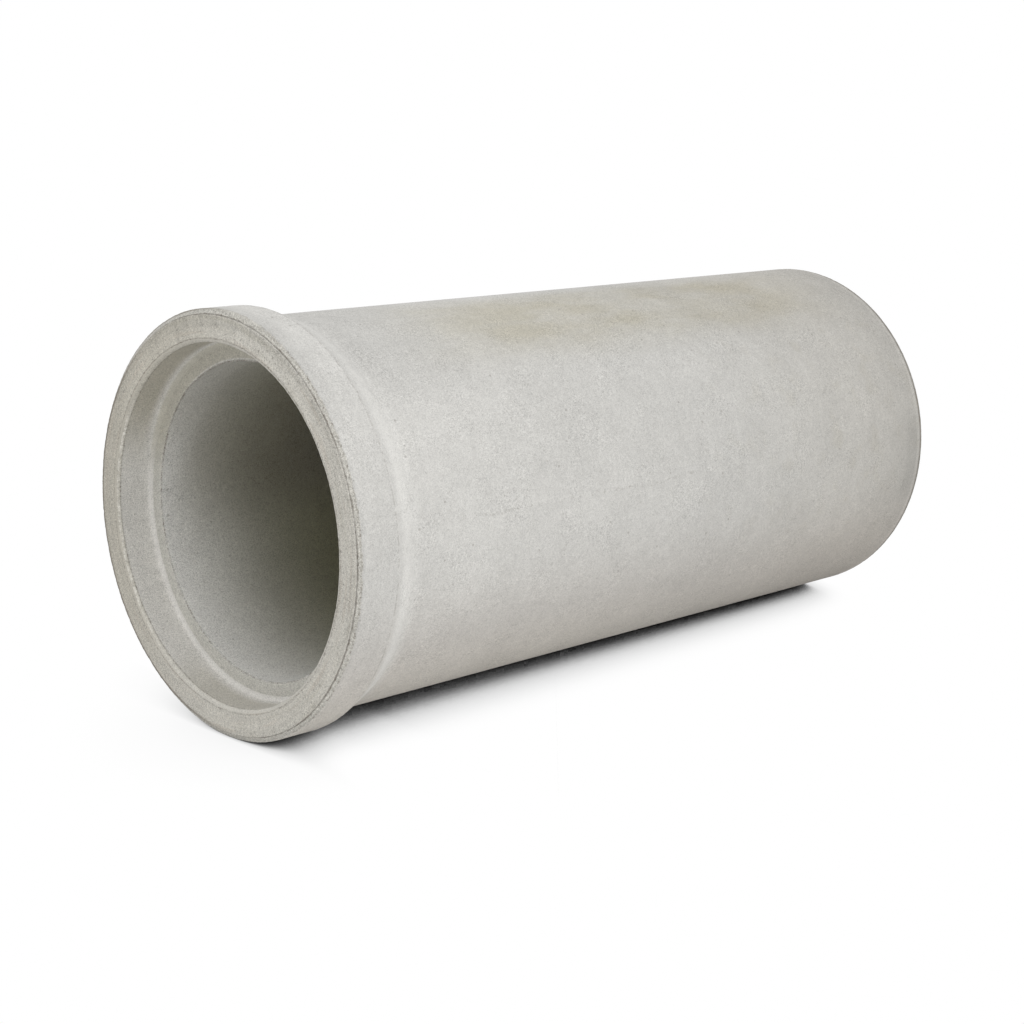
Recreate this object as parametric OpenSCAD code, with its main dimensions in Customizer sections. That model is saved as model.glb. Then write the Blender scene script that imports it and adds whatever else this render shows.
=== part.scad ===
// Concrete sewer pipe, cast in one piece, with a bell at one end and a reduced spigot at the other.
// It lies on level ground, resting on the back corner of its bell and on the end of its barrel.
// Sizes are in millimetres. +X runs from the bell to the spigot and +Z is up.

/* [Bore and barrel] */
// Diameter of the flow bore
bore_d = 900; // [600:10:1500]
// Thickness of the barrel's wall
wall = 110; // [90:1:130]
// Length from the bell's end face to the end of the barrel
barrel_len = 2500; // [1200:10:3500]
// Radius of the barrel's outer edge at the spigot end
end_round = 8; // [2:1:20]

/* [Bell] */
// Thickness of the bell around its socket
bell_wall = 91; // [75:1:115]
// Length of the bell, from its end face to its back corner
bell_len = 130; // [80:1:250]
// Radius of the bell's back corner
bell_round = 13; // [5:1:60]
// Length of the sloping shoulder between the bell and the barrel
shoulder_len = 84; // [50:1:200]
// Radius of the hollow where the shoulder runs out into the barrel
shoulder_fillet = 26; // [10:1:120]
// Width of the bevel round the bell's outer edge, across the end face
rim_bevel = 16; // [4:1:25]
// Length of that bevel along the bell
rim_len = 10; // [3:1:20]
// Height of the small step between the end face and the bevel
rim_step = 3; // [1:0.5:6]

/* [Socket] */
// Depth of the socket, from the end face to its shoulder
socket_depth = 116; // [80:1:180]
// Radius of the fillet round the bottom of the socket
socket_fillet = 16; // [6:1:40]
// Width of the bevel round the socket's mouth, across the end face
mouth_bevel = 9; // [3:1:20]
// Depth of that bevel along the socket
mouth_depth = 12; // [4:1:30]

/* [Spigot] */
// Thickness of the spigot's wall
spigot_wall = 44; // [30:1:60]
// Gap between a spigot and the socket around it in a made joint
joint_gap = 10; // [4:0.5:16]
// Gap between a spigot's nose and the socket's shoulder in a made joint
nose_gap = 16; // [5:1:30]
// Length of the taper at the spigot's nose
nose_len = 25; // [8:1:40]
// How far that taper draws the nose in
nose_draw = 16; // [4:1:24]

/* [Hidden] */
$fn = 180;
concrete = [0.76, 0.75, 0.72];

bore_r = bore_d / 2;
barrel_r = bore_r + wall;
spigot_r = bore_r + spigot_wall;
nose_r = spigot_r - nose_draw;
socket_r = spigot_r + joint_gap;
bell_r = socket_r + bell_wall;
face_r = bell_r - rim_bevel;
shoulder_end = bell_len + shoulder_len;
spigot_len = socket_depth - nose_gap;
total_len = barrel_len + spigot_len;

// How far the hollow's outline runs past the ends and the axis
over = 20;
mouth_r = socket_r + mouth_bevel * (mouth_depth + over) / mouth_depth;

// Corners that are rounded, each as [radius, length along the axis]
bell_corner = [bell_r, bell_len];
foot_corner = [barrel_r, shoulder_end];
end_corner = [barrel_r, barrel_len];
socket_corner = [socket_r, socket_depth];

function unit(v) = v / norm(v);
// Half the angle at corner p between the ways to a and to b
function half_angle(p, a, b) = acos(unit(a - p) * unit(b - p)) / 2;
// Where an arc of radius r meets the edge from p to a
function touch(p, a, b, r) = p + unit(a - p) * r / tan(half_angle(p, a, b));
// Centre of that arc
function centre(p, a, b, r) = p + unit(unit(a - p) + unit(b - p)) * r / sin(half_angle(p, a, b));

// The shoulder's hollow foot: where its arc starts and stops, and a point that fills the corner up to it
foot_start = touch(foot_corner, bell_corner, end_corner, shoulder_fillet);
foot_stop = touch(foot_corner, end_corner, bell_corner, shoulder_fillet);
foot_fill = (foot_corner + centre(foot_corner, bell_corner, end_corner, shoulder_fillet)) / 2;

// The two arcs that the pipe rests on, and the tilt at which one level line touches both
bell_arc = centre(bell_corner, [bell_r, 0], foot_corner, bell_round);
end_arc = end_corner - [end_round, end_round];
drop = bell_arc[0] - end_arc[0];
span = end_arc[1] - bell_arc[1];
tilt = atan2(drop, span) - asin((end_round - bell_round) / norm([drop, span]));
axis_z = bell_arc[0] * cos(tilt) + bell_arc[1] * sin(tilt) + bell_round;

// The pipe's reach along X from the middle of its end face
face_x = -face_r * sin(tilt);
rim_x = (rim_step + rim_len) * cos(tilt) - bell_r * sin(tilt);
nose_x = total_len * cos(tilt) + nose_r * sin(tilt);
middle_x = (min(face_x, rim_x) + nose_x) / 2;

// A fan from the centre of the arc that eases corner p, out past the corner
module fan(p, a, b, r) {
    c = centre(p, a, b, r);
    t = touch(p, a, b, r);
    u = touch(p, b, a, r);
    polygon([c, t + (t - c) / 2, p + (p - c) / 2, u + (u - c) / 2]);
}

// What is cut off a corner that sticks out
module beyond_arc(p, a, b, r) {
    difference() {
        fan(p, a, b, r);
        translate(centre(p, a, b, r)) circle(r);
    }
}

// What is cut out of a filled corner to leave a hollow one
module within_arc(p, a, b, r) {
    intersection() {
        fan(p, a, b, r);
        translate(centre(p, a, b, r)) circle(r);
    }
}

// Outer outline, from the end face up to the spigot's nose
module outside() {
    difference() {
        polygon([
            [0, 0], [face_r, 0], [face_r, rim_step], [bell_r, rim_step + rim_len], bell_corner,
            foot_start, foot_fill, foot_stop, end_corner,
            [spigot_r, barrel_len], [spigot_r, total_len - nose_len], [nose_r, total_len], [0, total_len]
        ]);
        beyond_arc(bell_corner, [bell_r, 0], foot_corner, bell_round);
        within_arc(foot_corner, bell_corner, end_corner, shoulder_fillet);
        beyond_arc(end_corner, foot_corner, [0, barrel_len], end_round);
    }
}

// Socket and flow bore
module hollow() {
    difference() {
        polygon([
            [-over, -over], [mouth_r, -over], [socket_r, mouth_depth], socket_corner,
            [bore_r, socket_depth], [bore_r, total_len + over], [-over, total_len + over]
        ]);
        beyond_arc(socket_corner, [socket_r, 0], [0, socket_depth], socket_fillet);
    }
}

module pipe() {
    color(concrete)
    translate([-middle_x, 0, axis_z])
    rotate([0, 90 + tilt, 0])
    rotate_extrude()
    difference() {
        outside();
        hollow();
    }
}

pipe();
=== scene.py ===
import math
from types import SimpleNamespace

import bmesh
import bpy
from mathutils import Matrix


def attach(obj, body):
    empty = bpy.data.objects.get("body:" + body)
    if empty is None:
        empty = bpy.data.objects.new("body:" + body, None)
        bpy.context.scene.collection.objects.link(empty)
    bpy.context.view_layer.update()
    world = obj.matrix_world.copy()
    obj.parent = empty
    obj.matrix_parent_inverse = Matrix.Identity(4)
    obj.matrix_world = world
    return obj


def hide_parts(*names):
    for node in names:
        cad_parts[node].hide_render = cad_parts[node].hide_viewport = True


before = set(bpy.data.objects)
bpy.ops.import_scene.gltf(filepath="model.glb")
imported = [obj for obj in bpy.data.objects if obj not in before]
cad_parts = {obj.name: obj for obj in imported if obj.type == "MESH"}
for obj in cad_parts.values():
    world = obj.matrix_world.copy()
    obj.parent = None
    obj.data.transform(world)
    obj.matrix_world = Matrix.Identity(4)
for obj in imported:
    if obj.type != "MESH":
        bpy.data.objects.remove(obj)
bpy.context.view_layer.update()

bl_info = {
    "name": "Concrete Sewer Pipe",
    "version": (1, 0, 0),
    "blender": (4, 5, 0),
    "location": "View3D > Sidebar > Pipe",
    "description": "Turns a cast concrete pipe with its bell and lays it on a plain studio floor",
    "category": "Object",
}


# Node writing

# How far the noise of one seed lies from the next seed's, three ways
SEED_STEP = (3.7, 5.3, 8.9)


class Wire:
    """A socket's value on its way through a node tree."""

    def __init__(self, board, socket):
        self.board = board
        self.socket = socket

    def math(self, operation, *values):
        sockets = dict(zip(("Value", "Value_001", "Value_002"), values))
        return self.board.node("ShaderNodeMath", {"operation": operation}, sockets)

    def __add__(self, other):
        return self.math("ADD", self, other)

    def __radd__(self, other):
        return self.math("ADD", other, self)

    def __sub__(self, other):
        return self.math("SUBTRACT", self, other)

    def __rsub__(self, other):
        return self.math("SUBTRACT", other, self)

    def __mul__(self, other):
        return self.math("MULTIPLY", self, other)

    def __rmul__(self, other):
        return self.math("MULTIPLY", other, self)

    def __truediv__(self, other):
        return self.math("DIVIDE", self, other)

    def __pow__(self, other):
        return self.math("POWER", self, other)

    def __abs__(self):
        return self.math("ABSOLUTE", self)

    def most(self, other):
        return self.math("MAXIMUM", self, other)

    def least(self, other):
        return self.math("MINIMUM", self, other)

    def under(self, limit):
        """1 below the limit and 0 from it on."""
        return self.math("LESS_THAN", self, limit)

    def fade(self, start, stop):
        """0 before start and 1 after stop, eased between; a stop below start turns it round."""
        if stop < start:
            return 1 - self.fade(stop, start)
        settings = {"interpolation_type": "SMOOTHSTEP"}
        sockets = {"Value": self, "From Min": start, "From Max": stop}
        return self.board.node("ShaderNodeMapRange", settings, sockets)

    def between(self, low, high, soft):
        """1 from low to high, with soft edges outside."""
        return self.fade(low - soft, low) * self.fade(high + soft, high)

    def twin(self, output):
        """Another output of the same node."""
        return Wire(self.board, next(s for s in self.socket.node.outputs if s.identifier == output))


class Board:
    """A node tree that nodes are added to."""

    def __init__(self, tree):
        self.tree = tree

    def node(self, kind, settings=None, sockets=None, out=None):
        """Adds a node, sets it up, fills its sockets and gives one of its outputs."""
        node = self.tree.nodes.new(kind)
        for name, value in (settings or {}).items():
            if name == "stops":
                ramp = node.color_ramp
                for place, colour in value[1:-1]:
                    ramp.elements.new(place).color = colour
                ramp.elements[0].position, ramp.elements[0].color = value[0]
                ramp.elements[-1].position, ramp.elements[-1].color = value[-1]
            else:
                setattr(node, name, value)
        for key, value in (sockets or {}).items():
            socket = next(s for s in node.inputs if s.identifier == key)
            if isinstance(value, Wire):
                self.tree.links.new(value.socket, socket)
            else:
                socket.default_value = value
        if out is None:
            live = [s for s in node.outputs if s.enabled]
            return Wire(self, live[0]) if live else None
        return Wire(self, next(s for s in node.outputs if s.identifier == out))

    def move(self, place, steps):
        """A place moved by three steps."""
        sockets = {"Vector": place, "Vector_001": steps}
        return self.node("ShaderNodeVectorMath", {"operation": "ADD"}, sockets)

    def noise(self, place, scale, detail, rough, seed):
        """Cloudy noise about 0, with so many lumps to a unit of the place."""
        sockets = {"Vector": self.move(place, tuple(seed * step for step in SEED_STEP)),
                   "Scale": scale, "Detail": detail, "Roughness": rough}
        return self.node("ShaderNodeTexNoise", {"noise_dimensions": "3D"}, sockets) - 0.5

    def blend(self, share, first, second, way="MIX"):
        """Mixes two colours by a share of the second."""
        settings = {"data_type": "RGBA", "blend_type": way}
        sockets = {"Factor_Float": share, "A_Color": first, "B_Color": second}
        return self.node("ShaderNodeMix", settings, sockets)

    def stretch(self, place, factors):
        """A place with its three directions scaled."""
        sockets = {"Vector": place, "Vector_001": factors}
        return self.node("ShaderNodeVectorMath", {"operation": "MULTIPLY"}, sockets)


# What a user would change

def length(name, description, default, **more):
    return bpy.props.FloatProperty(
        name=name, description=description, default=default, unit="LENGTH", precision=4, **more)


def tint(name, description, default):
    return bpy.props.FloatVectorProperty(
        name=name, description=description, default=default, subtype="COLOR", size=3, min=0, max=1)


class PipeSizes(bpy.types.PropertyGroup):
    bore: length("Bore", "Radius of the bore", 0.450)
    barrel: length("Barrel", "Outside radius of the barrel", 0.560)
    barrel_end: length("Barrel end", "Bell face to the end of the barrel", 2.500)
    end_round: length("End round", "Rounding of the barrel's end edge", 0.008)
    bell: length("Bell", "Outside radius of the bell", 0.595)
    bell_back: length("Bell back", "Bell face to where the shoulder cone would start", 0.130)
    bell_round: length("Bell round", "Rounding at the back of the bell", 0.013)
    shoulder_end: length("Shoulder end", "Bell face to where the shoulder cone would end", 0.214)
    shoulder_round: length("Shoulder round", "Hollow rounding at the foot of the shoulder", 0.026)
    face: length("Face", "Outer radius of the bell's end face", 0.579)
    rim_step: length("Rim step", "Depth of the step round the end face", 0.003)
    rim_stop: length("Rim stop", "Bell face to the end of the rim's bevel", 0.013)
    socket: length("Socket", "Radius inside the socket", 0.504)
    socket_depth: length("Socket depth", "Bell face to the socket's shoulder", 0.116)
    socket_round: length("Socket round", "Rounding in the socket's corner", 0.016)
    mouth: length("Mouth", "Radius of the mouth at the end face", 0.513)
    mouth_depth: length("Mouth depth", "How far the mouth's bevel goes in", 0.012)
    spigot: length("Spigot", "Outside radius of the spigot", 0.494)
    spigot_end: length("Spigot end", "Bell face to the end of the spigot", 2.600)
    nose: length("Nose", "Radius at the end of the spigot's nose", 0.478)
    nose_start: length("Nose start", "Bell face to where the nose's taper starts", 2.575)
    tilt: bpy.props.FloatProperty(
        name="Tilt", description="How far the axis drops from the bell to the spigot",
        default=math.radians(0.8480239), subtype="ANGLE")
    centre: bpy.props.FloatVectorProperty(
        name="Face centre", description="Middle of the bell's end face",
        default=(-1.299110198, 0.0, 0.596821808), subtype="TRANSLATION", unit="LENGTH", precision=6)
    segments: bpy.props.IntProperty(
        name="Segments", description="Steps round the pipe", default=860, min=64, max=2000)
    sag: length("Sag", "How far the bore's edge has slumped beside the crown", 0.007)
    seed: bpy.props.IntProperty(
        name="Seed", description="Choice of chips and rough spots", default=7)


class ConcreteColours(bpy.types.PropertyGroup):
    body: tint("Body", "Dry cement skin of the barrel and bell", (0.566, 0.557, 0.532))
    # Painted highlight on the shoulder cone, whose skin is also smoother
    smooth: tint("Smooth", "Closer, paler skin of the shoulder", (0.692, 0.682, 0.652))
    face: tint("Face", "Trowelled end face", (0.574, 0.554, 0.502))
    # Painted shade: the far side of the end face is drawn darker and warmer
    shaded_side: tint("Damp", "Darker, warmer side of the end face", (0.490, 0.465, 0.405))
    # Painted shade at the top of the socket; the same colour also darkens its very bottom
    socket_shade: tint("Moist", "Dark top of the socket", (0.452, 0.427, 0.362))
    # Painted highlight on the mouth's bevel and the ledge's edge, with pale crumbs
    lip: tint("Lip", "Pale crumbs on the lip and edges", (0.850, 0.826, 0.762))
    socket: tint("Socket", "Skin inside the socket", (0.628, 0.613, 0.578))
    # Painted highlight on the socket's corner, below its top
    fillet: tint("Fillet", "Pale, close skin in the socket's corner", (0.710, 0.694, 0.657))
    ledge: tint("Ledge", "Skin of the socket's shoulder", (0.600, 0.588, 0.540))
    # Painted shade: the top of the socket's shoulder and corner is drawn darker
    ledge_top_shade: tint("Shelf", "Stained top of the socket's shoulder", (0.500, 0.480, 0.416))
    bore: tint("Bore", "Skin of the bore next to its ends", (0.735, 0.727, 0.698))
    # Painted shade: the bore is drawn darker deep inside, darkest midway between its ends
    deep: tint("Deep", "Damp skin deep in the bore", (0.355, 0.346, 0.246))
    # Painted shade: the bore is drawn darker and browner overhead
    dark: tint("Dark", "Darker, browner skin overhead in the bore", (0.275, 0.257, 0.208))
    rim: tint("Rim", "Rough rim of the bell", (0.540, 0.525, 0.480))
    rust: tint("Rust", "Brown tint in patches on the end face", (0.460, 0.400, 0.330))
    stain: tint("Stain", "Yellowish water stain", (0.480, 0.455, 0.384))
    aged: tint("Aged", "What the skin is multiplied by toward the spigot", (1.000, 0.978, 0.943))
    dust: tint("Dust", "Warm dust low on the barrel", (0.522, 0.499, 0.466))
    # Painted light: the barrel's lowest side is drawn paler, where the white floor would light it
    ground: tint("Ground", "Pale dust along the side that lies on the ground", (0.594, 0.564, 0.516))
    pit: tint("Pit", "Shade in the pits", (0.300, 0.285, 0.255))
    fleck: tint("Fleck", "Pale grains of sand", (0.760, 0.745, 0.700))
    # Dirt and painted shade in the grooves, and painted shade along the far edges of the face and rim
    groove: tint("Groove", "Dirt in the grooves and round the edges", (0.180, 0.158, 0.130))


class StageSettings(bpy.types.PropertyGroup):
    eye: bpy.props.FloatVectorProperty(
        name="Eye", description="Place of the camera", default=(-4.3037, -4.2336, 1.8205),
        subtype="TRANSLATION", unit="LENGTH", precision=4)
    aim: bpy.props.FloatVectorProperty(
        name="Aim", description="Turn of the camera",
        default=(math.radians(77.0594), 0.0, math.radians(-44.1546)), subtype="EULER")
    lens: bpy.props.FloatProperty(
        name="Lens", description="Focal length on a 36 mm sensor", default=68.302, unit="CAMERA")
    sky: bpy.props.FloatProperty(
        name="Sky", description="Strength of the even light all round", default=0.68)
    key: bpy.props.FloatProperty(
        name="Key", description="Power of the soft lamp on the near side", default=48.0, unit="POWER")
    left: bpy.props.FloatProperty(
        name="Left", description="Power of the soft lamp high beyond the bell", default=37.0, unit="POWER")
    back: bpy.props.FloatProperty(
        name="Back", description="Power of the soft lamp high behind", default=25.0, unit="POWER")
    floor_size: length("Floor size", "Side of the floor", 240.0)


# The pipe's section

# How far from the bore's edge the wall still slumps, in metres
SAG_REACH = 0.05
# How far behind the step and out from the face's edge the rim's groove and the foot of its bevel lie
GROOVE_OFFSET = (0.0016, -0.0014)
BEVEL_OFFSET = (0.0010, 0.0015)
# Shares of the way at which the section's long lines get points, closer together toward their ends
BARREL_SHARES = (0.005, 0.02, 0.06, 0.12, 0.2, 0.28, 0.36, 0.44, 0.52,
                 0.6, 0.68, 0.76, 0.84, 0.91, 0.96, 0.985, 0.995)
BORE_SHARES = (0.002, 0.01, 0.05, 0.15, 0.3, 0.45, 0.6, 0.74,
               0.84, 0.91, 0.955, 0.98, 0.991, 0.996, 0.9985)


def arc(middle, radius, start, stop, steps):
    """Points on an arc from one angle to another, both ends kept, in degrees."""
    points = []
    for i in range(steps + 1):
        angle = math.radians(start + (stop - start) * i / steps)
        points.append((middle[0] + radius * math.cos(angle), middle[1] + radius * math.sin(angle)))
    return points


def line(first, last, shares):
    """Points at shares of the way from one point to another."""
    return [(first[0] + (last[0] - first[0]) * t, first[1] + (last[1] - first[1]) * t) for t in shares]


def section(size):
    """The wall's outline as distance along the axis, radius and wear in metres, once round."""
    outline = []

    def add(points, wear):
        outline.extend((s, r, wear) for s, r in points)

    slope = math.atan2(size.bell - size.barrel, size.shoulder_end - size.bell_back)
    lean = math.degrees(slope)
    back = size.bell_round * math.tan(slope / 2)
    foot = size.shoulder_round * math.tan(slope / 2)
    bell_arc = arc((size.bell_back - back, size.bell - size.bell_round), size.bell_round, 90, 90 - lean, 4)
    foot_arc = arc((size.shoulder_end + foot, size.barrel + size.shoulder_round), size.shoulder_round,
                   270 - lean, 270, 4)
    end_arc = arc((size.barrel_end - size.end_round, size.barrel - size.end_round),
                  size.end_round, 90, 0, 4)
    socket_arc = arc((size.socket_depth - size.socket_round, size.socket - size.socket_round),
                     size.socket_round, 0, 90, 5)
    step = size.rim_step
    groove = (step + GROOVE_OFFSET[0], size.face + GROOVE_OFFSET[1])
    bevel_foot = (step + BEVEL_OFFSET[0], size.face + BEVEL_OFFSET[1])
    rim = (size.rim_stop, size.bell)
    add(line((0, size.mouth), (0, size.face), (0.02, 0.1, 0.25, 0.42, 0.6, 0.76, 0.88, 0.955)), 0.0006)
    add([(0.0004, size.face - 0.0002)], 0.0008)
    add([(step * 0.55, size.face)], 0.0008)
    add([groove], 0.0010)
    add([bevel_foot], 0.0010)
    add(line(bevel_foot, rim, (0.2, 0.4, 0.6, 0.8)), 0.0007)
    add([rim], 0.0008)
    add(line(rim, bell_arc[0], (0.02, 0.05, 0.12, 0.3, 0.5, 0.7, 0.86, 0.95)), 0.0004)
    add(bell_arc, 0.0004)
    add(line(bell_arc[-1], foot_arc[0], (0.1, 0.35, 0.65, 0.9)), 0.0003)
    add(foot_arc, 0.0003)
    add(line(foot_arc[-1], end_arc[0], BARREL_SHARES), 0.0003)
    add(end_arc, 0.0005)
    shoulder = (size.barrel_end, size.spigot)
    add(line(end_arc[-1], shoulder, (0.15, 0.5, 0.85, 0.97)), 0.0006)
    add([shoulder], 0.0004)
    nose = (size.nose_start, size.spigot)
    tip = (size.spigot_end, size.nose)
    add(line(shoulder, nose, (0.05, 0.3, 0.7, 0.95)), 0.0005)
    add([nose], 0.0008)
    add(line(nose, tip, (0.1, 0.5, 0.9)), 0.0008)
    add([tip], 0.0016)
    lip = (size.spigot_end, size.bore)
    add(line(tip, lip, (0.1, 0.5, 0.9)), 0.0008)
    add([lip], 0.0016)
    ledge = (size.socket_depth, size.bore)
    add(line(lip, ledge, BORE_SHARES), 0.0006)
    add([ledge], 0.0022)
    add(line(ledge, socket_arc[0], (0.08, 0.25, 0.5, 0.8)), 0.0010)
    add(socket_arc, 0.0004)
    bevel = (size.mouth_depth, size.socket)
    add(line(socket_arc[-1], bevel, (0.15, 0.4, 0.7, 0.9, 0.98)), 0.0004)
    add([bevel], 0.0004)
    flare = size.mouth - size.socket
    rounding = ((0.6, 0.14), (0.32, 0.36), (0.12, 0.68))
    add([(size.mouth_depth * s, size.socket + flare * r) for s, r in rounding], 0.0008)
    add([(0, size.mouth)], 0.0010)
    return outline


def section_mesh(size):
    """The outline as a ring of edges: across is the radius past the barrel's, up is minus the distance."""
    outline = section(size)[::-1]
    mesh = bpy.data.meshes.new("pipe_section")
    places = [(r - size.barrel, -s, 0.0) for s, r, wear in outline]
    count = len(places)
    mesh.from_pydata(places, [(i, (i + 1) % count) for i in range(count)], [])
    wear = mesh.attributes.new("wear", "FLOAT", "POINT")
    wear.data.foreach_set("value", [w for s, r, w in outline])
    edge = (size.socket_depth, size.bore)
    sag = mesh.attributes.new("sag", "FLOAT", "POINT")
    sag.data.foreach_set("value", [
        max(0.0, 1 - math.dist((s, r), edge) / SAG_REACH) ** 2 for s, r, w in outline])
    return mesh


# The turned and worn wall

# Way from the axis to the slumped part of the bore's edge, before the pipe is laid down
SLUMP_WAY = (-0.961, 0.276, 0.0)
# How far out that way the slump starts and where it is whole, in metres
SLUMP_START = 0.400
SLUMP_WHOLE = 0.446
# How far the wall as a whole waves in and out, in metres
WALL_WAVE = 0.0012


def turning_tree():
    """Geometry nodes that turn a section about the axis, wear its edges and lay it on the floor."""
    tree = bpy.data.node_groups.new("pipe_turning", "GeometryNodeTree")
    kinds = (
        ("Section", "NodeSocketGeometry"),
        ("Path Radius", "NodeSocketFloat"),
        ("Segments", "NodeSocketInt"),
        ("Seed", "NodeSocketFloat"),
        ("Sag", "NodeSocketFloat"),
        ("Turn", "NodeSocketVector"),
        ("Place", "NodeSocketVector"),
        ("Concrete", "NodeSocketMaterial"),
    )
    for name, kind in kinds:
        tree.interface.new_socket(name=name, in_out="INPUT", socket_type=kind)
    tree.interface.new_socket(name="Wall", in_out="OUTPUT", socket_type="NodeSocketGeometry")
    board = Board(tree)
    given = tree.nodes.new("NodeGroupInput")
    entry = {s.name: Wire(board, s) for s in given.outputs if s.name}
    circle = board.node("GeometryNodeCurvePrimitiveCircle", {"mode": "RADIUS"},
                        {"Resolution": entry["Segments"], "Radius": entry["Path Radius"]})
    outline = board.node("GeometryNodeMeshToCurve", {}, {"Mesh": entry["Section"]})
    wall = board.node("GeometryNodeCurveToMesh", {}, {"Curve": circle, "Profile Curve": outline})
    place = board.node("GeometryNodeInputPosition")
    normal = board.node("GeometryNodeInputNormal", {}, {}, "Normal")

    def share(name):
        settings = {"data_type": "FLOAT"}
        return board.node("GeometryNodeInputNamedAttribute", settings, {"Name": name}, "Attribute")

    def lumps(scale, detail, layer):
        sockets = {"Vector": place, "W": entry["Seed"] + layer, "Scale": scale, "Detail": detail}
        return board.node("ShaderNodeTexNoise", {"noise_dimensions": "4D"}, sockets) - 0.5

    chips = lumps(30.0, 2.0, 9.0).fade(0.14, 0.26)
    push = share("wear") * (lumps(90.0, 2.0, 1.0) * 3.6 + lumps(28.0, 2.0, 4.0) * 1.4 - chips * 1.2)
    push = push + lumps(2.4, 1.0, 21.0) * WALL_WAVE
    offset = board.node("ShaderNodeVectorMath", {"operation": "SCALE"}, {"Vector": normal, "Scale": push})
    worn = board.node("GeometryNodeSetPosition", {}, {"Geometry": wall, "Offset": offset})
    toward_slump = board.node("ShaderNodeVectorMath", {"operation": "DOT_PRODUCT"},
                              {"Vector": place, "Vector_001": SLUMP_WAY}, "Value")
    drop = share("sag") * toward_slump.fade(SLUMP_START, SLUMP_WHOLE) * entry["Sag"]
    down = board.node("ShaderNodeCombineXYZ", {}, {"X": drop})
    worn = board.node("GeometryNodeSetPosition", {}, {"Geometry": worn, "Offset": down})
    laid = board.node("GeometryNodeTransform", {}, {
        "Geometry": worn, "Translation": entry["Place"], "Rotation": entry["Turn"]})
    smooth = board.node("GeometryNodeSetShadeSmooth", {}, {"Geometry": laid})
    whole = board.node("GeometryNodeRealizeInstances", {}, {"Geometry": smooth})
    cast = board.node("GeometryNodeSetMaterial", {}, {"Geometry": whole, "Material": entry["Concrete"]})
    result = tree.nodes.new("NodeGroupOutput")
    tree.links.new(cast.socket, result.inputs["Wall"])
    return tree


class WallPlace:
    """Where a point of the wall is: along the axis, out from it and how high round it."""

    def __init__(self, board, size):
        spot = board.node("ShaderNodeTexCoord", {}, {}, "Object")
        self.local = board.node("ShaderNodeMapping", {"vector_type": "TEXTURE"}, {
            "Vector": spot, "Location": size.centre, "Rotation": (0.0, size.tilt, 0.0)})
        self.along = board.node("ShaderNodeSeparateXYZ", {}, {"Vector": self.local}, "X")
        self.aside = self.along.twin("Y")
        self.above = self.along.twin("Z")
        self.radius = (self.aside * self.aside + self.above * self.above) ** 0.5
        self.height = self.above / self.radius
        self.from_crown = self.height.math("ARCCOSINE", self.height)
        sag = board.node("ShaderNodeAttribute", {"attribute_name": "sag"}, {}, "Fac")
        self.from_bore_edge = (1 - sag ** 0.5) * SAG_REACH
        # Places for strokes along the radius and for strokes round the axis
        self.spokes = self.turned(board, 60.0, 14.0)
        self.around = self.turned(board, 3.0, 90.0)

    def turned(self, board, round_scale, out_scale):
        """A place for noise by the way round the axis and the distance out from it."""
        return board.node("ShaderNodeCombineXYZ", {}, {
            "X": self.aside / self.radius * round_scale,
            "Y": self.height * round_scale,
            "Z": self.radius * out_scale})

    def ring(self, along, out, reach):
        """1 on a ring round the axis and 0 beyond its reach."""
        step_along = self.along - along
        step_out = self.radius - out
        return ((step_along * step_along + step_out * step_out) ** 0.5).fade(reach, reach * 0.3)


def wall_zones(wall, size, ragged):
    """Shares from 0 to 1 that tell the parts of the wall apart, some with ragged edges; in metres."""
    along, radius = wall.along, wall.radius
    zone = SimpleNamespace()
    zone.face = along.fade(0.0040, 0.0022) * radius.between(size.mouth + 0.0005, size.face - 0.0008, 0.0012)
    zone.near_side = wall.aside.fade(0.0, -0.35)
    frayed = along + ragged * 0.010 + zone.near_side * 0.0045
    zone.rim = frayed.fade(size.rim_stop + 0.0030, size.rim_stop + 0.0008)
    zone.rim = zone.rim * radius.fade(size.face - 0.0010, size.face + 0.0010)
    zone.bore = radius.fade(size.bore + 0.0035, size.bore + 0.0010)
    mouth = along.fade(0.0006, 0.0026) * radius.fade(size.mouth + 0.0030, size.mouth + 0.0005)
    zone.hollow = (mouth * along.fade(1.4, 1.2)).most(zone.bore)
    zone.lip = along.between(0.0045, 0.0100, 0.0022) * radius.between(size.socket, size.mouth, 0.0010)
    socket_end = size.socket_depth - size.socket_round
    corner = size.socket - size.socket_round
    zone.flare = along.fade(0.0150, 0.0090)
    zone.flare = zone.flare * radius.between(size.socket - 0.0020, size.mouth + 0.0006, 0.0012)
    zone.socket = zone.hollow * (1 - zone.bore) * along.fade(socket_end + 0.006, socket_end - 0.030)
    zone.fillet = zone.hollow * along.fade(socket_end + 0.002, socket_end + 0.012)
    zone.fillet = zone.fillet * radius.fade(corner + 0.0010, corner + 0.0028)
    zone.ledge = zone.hollow * (1 - zone.bore) * along.fade(socket_end, socket_end + 0.010)
    zone.ledge = zone.ledge * radius.fade(corner + 0.0028, corner + 0.0010)
    zone.outside = radius.fade(size.barrel - 0.012, size.barrel - 0.006) * (1 - zone.face) * (1 - zone.rim)
    zone.spigot = along.fade(size.barrel_end - 0.012, size.barrel_end - 0.003) * (1 - zone.outside)
    zone.spigot = zone.spigot * (1 - zone.bore)
    zone.bell = along.fade(size.bell_back, size.bell_back - 0.004) * zone.outside
    zone.cone = along.fade(size.bell_back - 0.008, size.bell_back + 0.042) * zone.outside
    zone.cone = zone.cone * along.fade(size.shoulder_end + 0.036, size.shoulder_end - 0.036)
    zone.end = along.fade(size.barrel_end - 0.40, size.barrel_end - 0.01) * zone.outside
    zone.crown = wall.from_crown.fade(1.0, 0.62) * zone.outside
    zone.neck = along.fade(0.85, 0.30) * along.fade(0.05, 0.22) * zone.outside
    return zone


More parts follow.
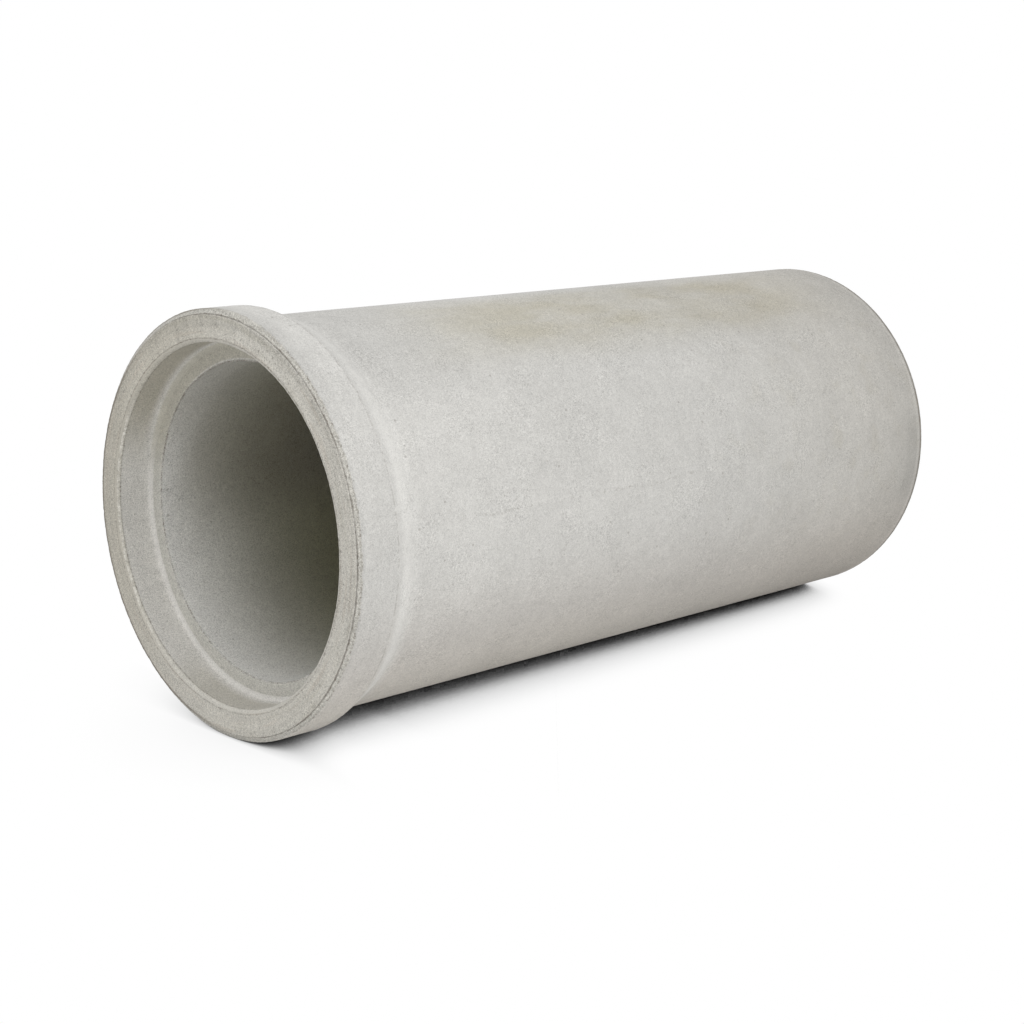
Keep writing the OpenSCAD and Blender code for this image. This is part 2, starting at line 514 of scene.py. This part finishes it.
def pits(board, place, spacing, reach, share, seed):
    """Round spots about so far apart, 1 in the middle and 0 outside, in a share of the cells."""
    settings = {"feature": "F1", "voronoi_dimensions": "3D"}
    sockets = {"Vector": board.move(place, (seed, seed, seed)), "Scale": 1 / spacing}
    cells = board.node("ShaderNodeTexVoronoi", settings, sockets, "Distance")
    draw = board.node("ShaderNodeSeparateColor", {}, {"Color": cells.twin("Color")}, "Red")
    return cells.fade(reach / spacing, 0.35 * reach / spacing) * draw.fade(share + 0.01, share - 0.01)


def wall_grain(board, wall, size, zone):
    """Tone of the concrete about 0 from a metre down to grit, and what its relief is made of."""
    local = wall.local
    grain = SimpleNamespace()
    wide = board.noise(local, 2.6, 2.0, 0.5, 1)
    patch = board.noise(local, 10.0, 2.0, 0.5, 2)
    grain.mottle = board.noise(local, 38.0, 2.0, 0.5, 3)
    speck = board.noise(local, 125.0, 2.0, 0.55, 4)
    grit = board.noise(local, 330.0, 2.0, 0.6, 5)
    grit = grit - grit * grit
    streaks = board.noise(board.stretch(local, (90.0, 7.0, 7.0)), 1.0, 2.0, 0.5, 6)
    strokes = board.noise(wall.around, 1.0, 2.0, 0.5, 18) * zone.face
    grain.cluster = board.noise(local, 9.0, 3.0, 0.6, 17).fade(-0.06, 0.14)
    skin = zone.outside * (0.80 + 0.45 * grain.cluster) * (1 - zone.cone * 0.2 + zone.bell * 0.1)
    skin = skin * (1 + 0.35 * wall.height * wall.height * (1 - zone.bell))
    face_side = zone.face * (1.9 + 0.3 * wall.aside.fade(-0.1, 0.4))
    coarse = skin + face_side + zone.rim * 1.8 + zone.hollow * (1.3 - zone.fillet * 0.5)
    coarse = coarse + zone.spigot * 1.5
    cloud = wide * 0.14 + patch * 0.14 + grain.mottle * 0.16
    sand = speck * (0.34 - zone.hollow * 0.13) + grit * (0.95 + zone.hollow * 0.25)
    inward = wall.radius.fade(size.face - 0.008, size.mouth + 0.015)
    combed = board.noise(wall.spokes, 1.0, 2.0, 0.5, 26) * 0.34 + inward * 0.16 - 0.08
    combed = combed * zone.face * wall.height.fade(0.30, 0.75)
    grain.tone = cloud + streaks * (0.05 + zone.bell * 0.08) + strokes * 0.30 + combed + sand * coarse
    grain.fine = (speck * 0.0006 + grit * 0.00028) * coarse.least(1.3)
    return grain


def wall_pits(board, wall, zone, cluster):
    """Pinholes and air holes, and with them the mould's broken joint line on the near side."""
    local = wall.local
    dark = SimpleNamespace()
    pinholes = pits(board, local, 0.011, 0.0027, 0.55, 3.1) * cluster
    air_holes = pits(board, local, 0.045, 0.0048, 0.5, 7.7)
    rough_parts = (zone.face + zone.rim + zone.spigot + zone.bore * 0.25).least(1.0)
    face_holes = pits(board, local, 0.012, 0.0036, 0.6, 5.3) * rough_parts
    wave = board.noise(local, 7.0, 2.0, 0.5, 12)
    gaps = board.noise(local, 60.0, 2.0, 0.6, 13).fade(0.02, 0.16)
    joint = abs(wall.above - 0.061 + wave * 0.03).fade(0.008, 0.001) * wall.aside.fade(0.0, -0.1)
    joint = joint * wall.along.between(0.6, 1.2, 0.3) * gaps
    dark.holes = (pinholes * 0.8).most(air_holes).most(face_holes)
    dark.marks = dark.holes.most(joint)
    return dark


def edge_dirt_and_shade(board, wall, size, zone, ragged, crumbs):
    """Dark lines in the grooves and along the edges, broken up by crumbs and ragged gaps: dirt and painted
    shade in the rim's groove, painted shade along the far edges of the face and rim, a smudge on the face and
    dark lines at the other edges.
    """
    gappy = ragged.fade(-0.12, 0.10)
    dotted = crumbs.fade(0.02, 0.10)
    grains = board.noise(wall.local, 250.0, 2.0, 0.6, 23).fade(0.0, 0.10)
    broken = board.noise(wall.local, 7.0, 2.0, 0.5, 25).fade(-0.10, 0.06)
    # Dirt and painted shade in the rim's groove
    groove_line = size.face + 0.0002 + ragged * 0.010
    groove = wall.ring(size.rim_step + 0.0008, groove_line, 0.0042)
    groove = groove * (0.16 + 0.30 * broken + 0.16 * gappy + 0.28 * dotted)
    smudge = wall.ring(0.0, size.face - 0.0070, 0.0110) * ragged.fade(0.02, 0.22) * 0.30
    rim_back = wall.ring(size.rim_stop + 0.0012 + crumbs * 0.008, size.bell, 0.0044) * (1 - zone.near_side)
    rim_middle = wall.ring(size.rim_stop - 0.0036 + crumbs * 0.008, size.bell - 0.0058, 0.0040)
    rim_back = rim_back.most(rim_middle * zone.near_side) * (0.10 + 0.55 * dotted)
    rim_dots = zone.rim * crumbs.fade(0.05, 0.13) * 0.40
    bell_line = wall.ring(size.bell_back - 0.0024, size.bell, 0.0030) * ragged.fade(-0.10, 0.08) * 0.28
    lip_line = wall.ring(0.0, size.mouth + 0.0028 + ragged * 0.006, 0.0030)
    lip_line = lip_line * (0.13 + 0.50 * dotted + 0.20 * wall.height.fade(0.3, 0.8))
    lip_foot = wall.ring(size.mouth_depth + 0.0010, size.socket, 0.0036) * (0.20 + 0.50 * dotted)
    bore_edge = wall.from_bore_edge.fade(0.0056, 0.0016) * wall.along.fade(1.0, 0.8)
    bore_edge = bore_edge * (0.18 + 0.20 * wall.height.fade(-0.1, 0.5) + 0.22 * gappy + 0.50 * grains)
    # Painted shade along the end face's outer edge on its far side
    far_face_shade = wall.ring(0.0, size.face + ragged * 0.006, 0.0105)
    far_face_shade = far_face_shade * (wall.aside - wall.height * 0.2).fade(0.12, 0.42) * (0.74 + 0.18 * gappy)
    # Painted shade along the back of the rim on its far, upper side
    far_edge_shade = wall.ring(size.rim_stop, size.bell, 0.0064) * wall.aside.fade(-0.10, 0.15) * 0.75
    far_edge_shade = far_edge_shade * wall.height.fade(0.10, 0.45)
    barrel_end = wall.along.fade(size.barrel_end - 0.0170, size.barrel_end - 0.0130)
    end_edge = barrel_end * wall.radius.fade(size.barrel - 0.0052, size.barrel - 0.0030)
    end_edge = end_edge * (0.48 + 0.25 * gappy)
    lines = groove
    for other in (smudge, rim_back, rim_dots, bell_line, lip_line, lip_foot,
                  bore_edge, far_face_shade, far_edge_shade, end_edge):
        lines = lines.most(other)
    return lines


def skin_colour(board, wall, size, colours, zone):
    """Colour of the concrete by place, with its water stain and dust, painted light from the floor low on the
    barrel, painted highlights on the shoulder and the socket's corner, and painted shade on the end face, in
    the socket and in the bore.
    """
    height = wall.height
    drawn = board.stretch(board.move(wall.local, (-0.30, 0.0, 0.0)), (3.2, 9.0, 9.0))
    cloud = board.noise(drawn, 1.0, 3.0, 0.55, 14).fade(-0.20, 0.16)
    band = wall.aside.fade(0.03, -0.13) * wall.from_crown.fade(0.80, 0.48)
    stain = band * wall.along.between(0.90, 1.88, 0.60) * (0.45 + 0.55 * cloud)
    warm = board.noise(wall.local, 14.0, 3.0, 0.55, 20).fade(0.0, 0.22) * wall.along.fade(1.0, 2.1) * 0.22
    dust = height.fade(-0.05, -0.65)
    # Painted light from the floor, paler on the barrel's lowest side toward the bell
    ground = height.fade(-0.45, -0.80) * wall.along.fade(2.2, 0.9)
    # Painted shade on the far side of the end face and the mouth's bevel, a little more toward the top
    shaded_side = (wall.aside + wall.above * 0.30).fade(-0.02, 0.45)
    # Painted shade at the top of the socket, and darker at its very bottom
    socket_shade = height.fade(0.12, 0.62).most(height.fade(-0.82, -1.0) * 0.6)
    # Painted shade deep in the bore, darkest midway between its ends
    depth = (wall.along - size.socket_depth).least(size.spigot_end - wall.along)
    deep = depth.fade(-0.05, 0.62)
    # Painted shade overhead in the bore
    overhead = height.fade(-0.50, 0.35) * depth.fade(0.0, 0.155) * 0.47
    overhead = overhead.most(height.fade(0.10, 0.65) * 0.37)
    tinge = board.noise(wall.around, 0.8, 3.0, 0.6, 21)
    layers = (
        (stain.most(warm) * zone.outside, colours.stain),
        (dust * zone.outside, colours.dust),
        # Painted light from the floor on the barrel's lowest side
        (ground * zone.outside, colours.ground),
        # Painted highlight on the shoulder cone
        (zone.cone * 0.80, colours.smooth),
        (zone.hollow, colours.socket),
        (zone.ledge, colours.ledge),
        # Painted shade at the top of the socket
        (socket_shade * zone.socket, colours.socket_shade),
        # Painted highlight in the socket's corner, fading out toward the top
        (zone.fillet * height.fade(0.45, -0.10), colours.fillet),
        # Painted shade on the top of the socket's shoulder and corner
        (zone.fillet.most(zone.ledge) * height.fade(0.05, 0.45), colours.ledge_top_shade),
        (zone.flare, colours.face),
        (zone.flare * shaded_side, colours.shaded_side),
        (zone.bore, colours.bore),
        # Painted shade in the bore: darker overhead, deep inside, and deep inside toward the top
        (zone.bore * overhead, colours.dark),
        (zone.bore * deep, colours.deep),
        (zone.bore * deep * height.fade(-0.45, 0.15), colours.dark),
        (zone.face, colours.face),
        (zone.face * shaded_side, colours.shaded_side),
        (zone.face * tinge.fade(0.02, 0.16) * 0.30, colours.rust),
        (zone.face * tinge.fade(-0.02, -0.16) * 0.36, colours.stain),
        (zone.rim, colours.rim),
        (zone.spigot, colours.face),
    )
    colour = (*colours.body, 1)
    for share, layer in layers:
        colour = board.blend(share, colour, (*layer, 1))
    aged = wall.along.fade(1.3, 2.45) * zone.outside * 0.75
    return board.blend(aged, colour, (*colours.aged, 1), "MULTIPLY")


def concrete_material(size, colours):
    """Cast concrete: mottled cement skin, pits, stains, a trowelled face and a rough rim, with painted shade
    in the bore, the socket and along the far edges, and painted highlights on the shoulder, the lip and the
    socket's corner.
    """
    material = bpy.data.materials.new("concrete")
    material.use_nodes = True
    board = Board(material.node_tree)
    shader = next(n for n in material.node_tree.nodes if n.type == "BSDF_PRINCIPLED")
    wall = WallPlace(board, size)
    ragged = board.noise(wall.local, 46.0, 3.0, 0.65, 16)
    crumbs = board.noise(wall.local, 150.0, 2.0, 0.6, 19)
    zone = wall_zones(wall, size, ragged)
    grain = wall_grain(board, wall, size, zone)
    dark = wall_pits(board, wall, zone, grain.cluster)
    flecks = pits(board, wall.local, 0.017, 0.0028, 0.6, 9.2)
    colour = skin_colour(board, wall, size, colours, zone)

    # Painted shade toward the barrel's far end, on the crown and neck, on the bell and on the end face's near
    # side; a paler ring and a darker band before the end, and paler crumbs on the rim
    end_ring = wall.along.between(size.barrel_end - 0.030, size.barrel_end - 0.019, 0.003) * zone.outside
    end_band = wall.along.between(size.barrel_end - 0.075, size.barrel_end - 0.036, 0.025) * zone.outside
    belt = wall.height.between(-0.22, 0.08, 0.18)
    end_tone = (0.09 + 0.07 * belt) * (1 - 0.5 * wall.height.fade(-0.35, -0.65))
    shade = 1 - zone.end * end_tone - zone.crown * (0.04 + 0.07 * zone.neck) * (1 - zone.bell)
    # Darker on the bell's top next to the rim
    bell_top_by_rim = zone.bell * wall.along.fade(0.085, 0.015) * wall.height.fade(0.55, 0.85)
    crumbly = zone.rim * crumbs
    shade = shade - zone.neck * 0.015 - zone.bell * (0.053 - 0.05 * zone.crown) + end_ring * 0.07
    shade = shade - end_band * (0.02 + 0.05 * belt) - bell_top_by_rim * 0.13 + crumbly * 0.50
    shade = shade - zone.face * wall.aside.fade(-0.15, -0.50) * 0.045
    tone = (1.0 + grain.tone) * shade
    grey = board.node("ShaderNodeCombineColor", {}, {"Red": tone, "Green": tone, "Blue": tone})
    colour = board.blend(1.0, colour, grey, "MULTIPLY")
    colour = board.blend(dark.marks * (0.55 + zone.face * 0.20), colour, (*colours.pit, 1))
    colour = board.blend(flecks * (0.22 + zone.rim * 0.28), colour, (*colours.fleck, 1))
    # Painted highlights on the mouth's bevel, fainter at its top and very bottom, and along the ledge's edge,
    # broken up by pale crumbs; the bead by the rim's groove is pale crumbs
    bright_crumbs = crumbs.fade(-0.02, -0.10)
    ledge_edge_highlight = wall.from_bore_edge.fade(0.0090, 0.0040) * wall.along.fade(1.0, 0.8)
    bead = wall.ring(size.rim_step + 0.0022, size.face + 0.0040, 0.0040) * ragged.fade(0.0, 0.12)
    low = wall.height.fade(-0.55, -0.85)
    lip_highlight = (0.10 + 0.35 * ragged.fade(-0.10, 0.12) + 0.45 * bright_crumbs) * wall.height.fade(0.70, 0.35)
    pale = (zone.lip * lip_highlight * (1 - low * 0.5)).most(ledge_edge_highlight * bright_crumbs * 0.60)
    pale = pale.most(bead * bright_crumbs * 0.80)
    colour = board.blend(pale, colour, (*colours.lip, 1))
    colour = board.blend(edge_dirt_and_shade(board, wall, size, zone, ragged, crumbs), colour, (*colours.groove, 1))

    rough = 0.90 + grain.mottle * 0.12 - zone.cone * 0.06
    relief = grain.mottle * 0.0009 + grain.fine - dark.holes * 0.0011
    bump = board.node("ShaderNodeBump", {}, {"Strength": 1.0, "Distance": 1.0, "Height": relief})
    links = material.node_tree.links
    links.new(colour.socket, shader.inputs["Base Color"])
    links.new(rough.socket, shader.inputs["Roughness"])
    links.new(bump.socket, shader.inputs["Normal"])
    shader.inputs["Specular IOR Level"].default_value = 0.35
    return material


class PIPE_OT_wall(bpy.types.Operator):
    """Turns the pipe's wall from its section and gives it its concrete"""

    bl_idname = "pipe.wall"
    bl_label = "Pipe wall"

    def execute(self, context):
        size = context.scene.pipe_sizes
        tree = turning_tree()
        piece = bpy.data.objects.new("concrete_pipe", section_mesh(size))
        context.collection.objects.link(piece)
        turning = piece.modifiers.new("turning", "NODES")
        turning.node_group = tree
        values = {
            "Path Radius": size.barrel,
            "Segments": size.segments,
            "Seed": float(size.seed),
            "Sag": size.sag,
            "Turn": (0.0, math.pi / 2 + size.tilt, 0.0),
            "Place": size.centre,
            "Concrete": concrete_material(size, context.scene.pipe_colours),
        }
        for item in tree.interface.items_tree:
            if item.in_out == "INPUT" and item.name in values:
                turning[item.identifier] = values[item.name]
        graph = context.evaluated_depsgraph_get()
        turned = bpy.data.meshes.new_from_object(piece.evaluated_get(graph), depsgraph=graph)
        piece.modifiers.remove(turning)
        piece.data = turned
        check = bmesh.new()
        check.from_mesh(turned)
        is_open = any(len(edge.link_faces) != 2 for edge in check.edges)
        volume = check.calc_volume(signed=True)
        check.free()
        if is_open or volume <= 0:
            raise RuntimeError(f"the turned wall isn't a closed solid facing outwards: volume {volume:.4f}")
        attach(piece, "root")
        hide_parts("pipe")
        return {"FINISHED"}


# Floor, light and camera

# How bright the floor looks by the share of the room that each spot sees
SHADOW = (
    (0.058, 0.0), (0.070, 0.02), (0.085, 0.12), (0.098, 0.26), (0.112, 0.40),
    (0.130, 0.56), (0.150, 0.67), (0.170, 0.745), (0.190, 0.80), (0.210, 0.84),
    (0.235, 0.885), (0.265, 0.935), (0.300, 0.972), (0.360, 1.0),
)
# How far round a spot the room is looked at in metres, and by how many rays, which the ramp was fitted with
ROOM_REACH = 6.0
ROOM_RAYS = 64
# Half length and half width in metres of the part of the floor that shows a shadow
SHADOW_HALF = (1.9, 0.95)
# What the share gains for each metre toward the spigot, and what it loses everywhere
SHARE_SLOPE = 0.0038
SHARE_DROP = 0.0018
# Where the deeper shadow before the bell starts and is whole, in metres along the pipe
BEFORE_BELL = (-1.08, -1.22)
# The share that the ground there is drawn toward, and how far
BEFORE_SHARE = 0.08
BEFORE_PULL = 0.58
# Start, stop and soft edge of the paler strip beside the bell in metres, and how much more it sees
BESIDE_BELL = (-1.05, -0.88, 0.06)
BESIDE_GAIN = 0.06
# How far both lean along the pipe for each metre across it
SHADOW_LEAN = 0.15
# Places of the soft lamps, what they point at and their sides in metres; the stage settings hold their powers
LAMPS = {
    "key": ((-1.71, -3.31, 2.40), (-0.9, -0.3, 0.6), 2.0),
    "left": ((-2.66, 0.43, 4.93), (-0.2, 0.0, 0.6), 2.5),
    "back": ((-0.20, 2.25, 4.50), (-0.2, 0.0, 0.6), 2.5),
}
# Width of the camera's sensor in millimetres
SENSOR_WIDTH = 36.0


def soft_lamp(name, place, target, side, power):
    """A square lamp that points at a target and isn't seen itself."""
    lamp = bpy.data.lights.new(name, "AREA")
    lamp.shape = "SQUARE"
    lamp.size = side
    lamp.energy = power
    holder = bpy.data.objects.new(name, lamp)
    bpy.context.collection.objects.link(holder)
    way = [t - p for t, p in zip(target, place)]
    rise = math.atan2(way[2], math.hypot(way[0], way[1]))
    turn = math.atan2(way[1], way[0])
    holder.visible_camera = False
    holder.location = place
    holder.rotation_euler = (math.pi / 2 + rise, 0, turn - math.pi / 2)


def seen_directly(board):
    """1 for what the camera sees itself, in gloss or through glass."""
    ray = board.node("ShaderNodeLightPath", {}, {}, "Is Camera Ray")
    return ray.most(ray.twin("Is Glossy Ray")).most(ray.twin("Is Transmission Ray"))


def paper_material():
    """White ground that shows a soft shadow round the pipe and throws light back like plain paper."""
    paper = bpy.data.materials.new("white_paper")
    paper.use_nodes = True
    paper.node_tree.nodes.clear()
    board = Board(paper.node_tree)
    plain = board.node("ShaderNodeBsdfDiffuse", {}, {"Color": (0.90, 0.90, 0.90, 1)})
    open_air = board.node("ShaderNodeEmission", {}, {"Color": (1, 1, 1, 1), "Strength": 1.0})
    spot = board.node("ShaderNodeTexCoord", {}, {}, "Object")
    along = board.node("ShaderNodeSeparateXYZ", {}, {"Vector": spot}, "X")
    across = along.twin("Y")
    near = abs(along).under(SHADOW_HALF[0]) * abs(across).under(SHADOW_HALF[1])
    settings = {"samples": ROOM_RAYS}
    share = board.node("ShaderNodeAmbientOcclusion", settings, {"Distance": ROOM_REACH}, "AO")
    share = share + along * SHARE_SLOPE - SHARE_DROP
    slanted = along - across * SHADOW_LEAN
    before = slanted.fade(*BEFORE_BELL)
    beside = slanted.between(*BESIDE_BELL)
    share = share + (BEFORE_SHARE - share) * before * BEFORE_PULL + share * beside * BESIDE_GAIN
    stops = [(seen, (level, level, level, 1)) for seen, level in SHADOW]
    white = board.node("ShaderNodeValToRGB", {"stops": stops}, {"Fac": share}, "Color")
    bright = board.node("ShaderNodeEmission", {}, {"Color": white, "Strength": 1.0})
    pale = board.node("ShaderNodeMixShader", {}, {
        "Fac": near, "Shader": open_air, "Shader_001": bright})
    mixed = board.node("ShaderNodeMixShader", {}, {
        "Fac": seen_directly(board), "Shader": plain, "Shader_001": pale})
    board.node("ShaderNodeOutputMaterial", {}, {"Surface": mixed})
    return paper


class PIPE_OT_stage(bpy.types.Operator):
    """Lays the pale floor, hangs the soft lamps and sets the camera"""

    bl_idname = "pipe.stage"
    bl_label = "Stage"

    def execute(self, context):
        stage = context.scene.pipe_stage
        half = stage.floor_size / 2
        mesh = bpy.data.meshes.new("floor")
        mesh.from_pydata([(-half, -half, 0), (half, -half, 0), (half, half, 0), (-half, half, 0)],
                         [], [(0, 1, 2, 3)])
        mesh.materials.append(paper_material())
        floor = bpy.data.objects.new("floor", mesh)
        context.collection.objects.link(floor)

        world = bpy.data.worlds.new("studio")
        context.scene.world = world
        world.use_nodes = True
        world.node_tree.nodes.clear()
        board = Board(world.node_tree)
        strength = seen_directly(board) * (1.0 - stage.sky) + stage.sky
        light = board.node("ShaderNodeBackground", {}, {"Color": (1, 1, 1, 1), "Strength": strength})
        board.node("ShaderNodeOutputWorld", {}, {"Surface": light})

        for name, (place, target, side) in LAMPS.items():
            soft_lamp(f"{name}_lamp", place, target, side, getattr(stage, name))

        camera = bpy.data.cameras.new("camera")
        camera.lens = stage.lens
        camera.sensor_width = SENSOR_WIDTH
        eye = bpy.data.objects.new("camera", camera)
        context.collection.objects.link(eye)
        eye.location = stage.eye
        eye.rotation_euler = stage.aim
        context.scene.camera = eye
        context.scene.view_settings.view_transform = "Standard"
        return {"FINISHED"}


class PIPE_PT_panel(bpy.types.Panel):
    """Lists the pipe's sizes, colours and steps"""

    bl_idname = "PIPE_PT_panel"
    bl_label = "Concrete pipe"
    bl_space_type = "VIEW_3D"
    bl_region_type = "UI"
    bl_category = "Pipe"

    def draw(self, context):
        for group in (context.scene.pipe_sizes, context.scene.pipe_colours, context.scene.pipe_stage):
            box = self.layout.box()
            for name in group.__annotations__:
                box.prop(group, name)
        for step in (PIPE_OT_wall, PIPE_OT_stage):
            self.layout.operator(step.bl_idname)


CLASSES = (PipeSizes, ConcreteColours, StageSettings, PIPE_OT_wall, PIPE_OT_stage, PIPE_PT_panel)
GROUPS = {"pipe_sizes": PipeSizes, "pipe_colours": ConcreteColours, "pipe_stage": StageSettings}


def register():
    for item in CLASSES:
        bpy.utils.register_class(item)
    for name, group in GROUPS.items():
        setattr(bpy.types.Scene, name, bpy.props.PointerProperty(type=group))


def unregister():
    for name in GROUPS:
        delattr(bpy.types.Scene, name)
    for item in reversed(CLASSES):
        bpy.utils.unregister_class(item)


def main():
    register()
    bpy.ops.pipe.stage()
    bpy.ops.pipe.wall()


if __name__ == "__main__":
    main()
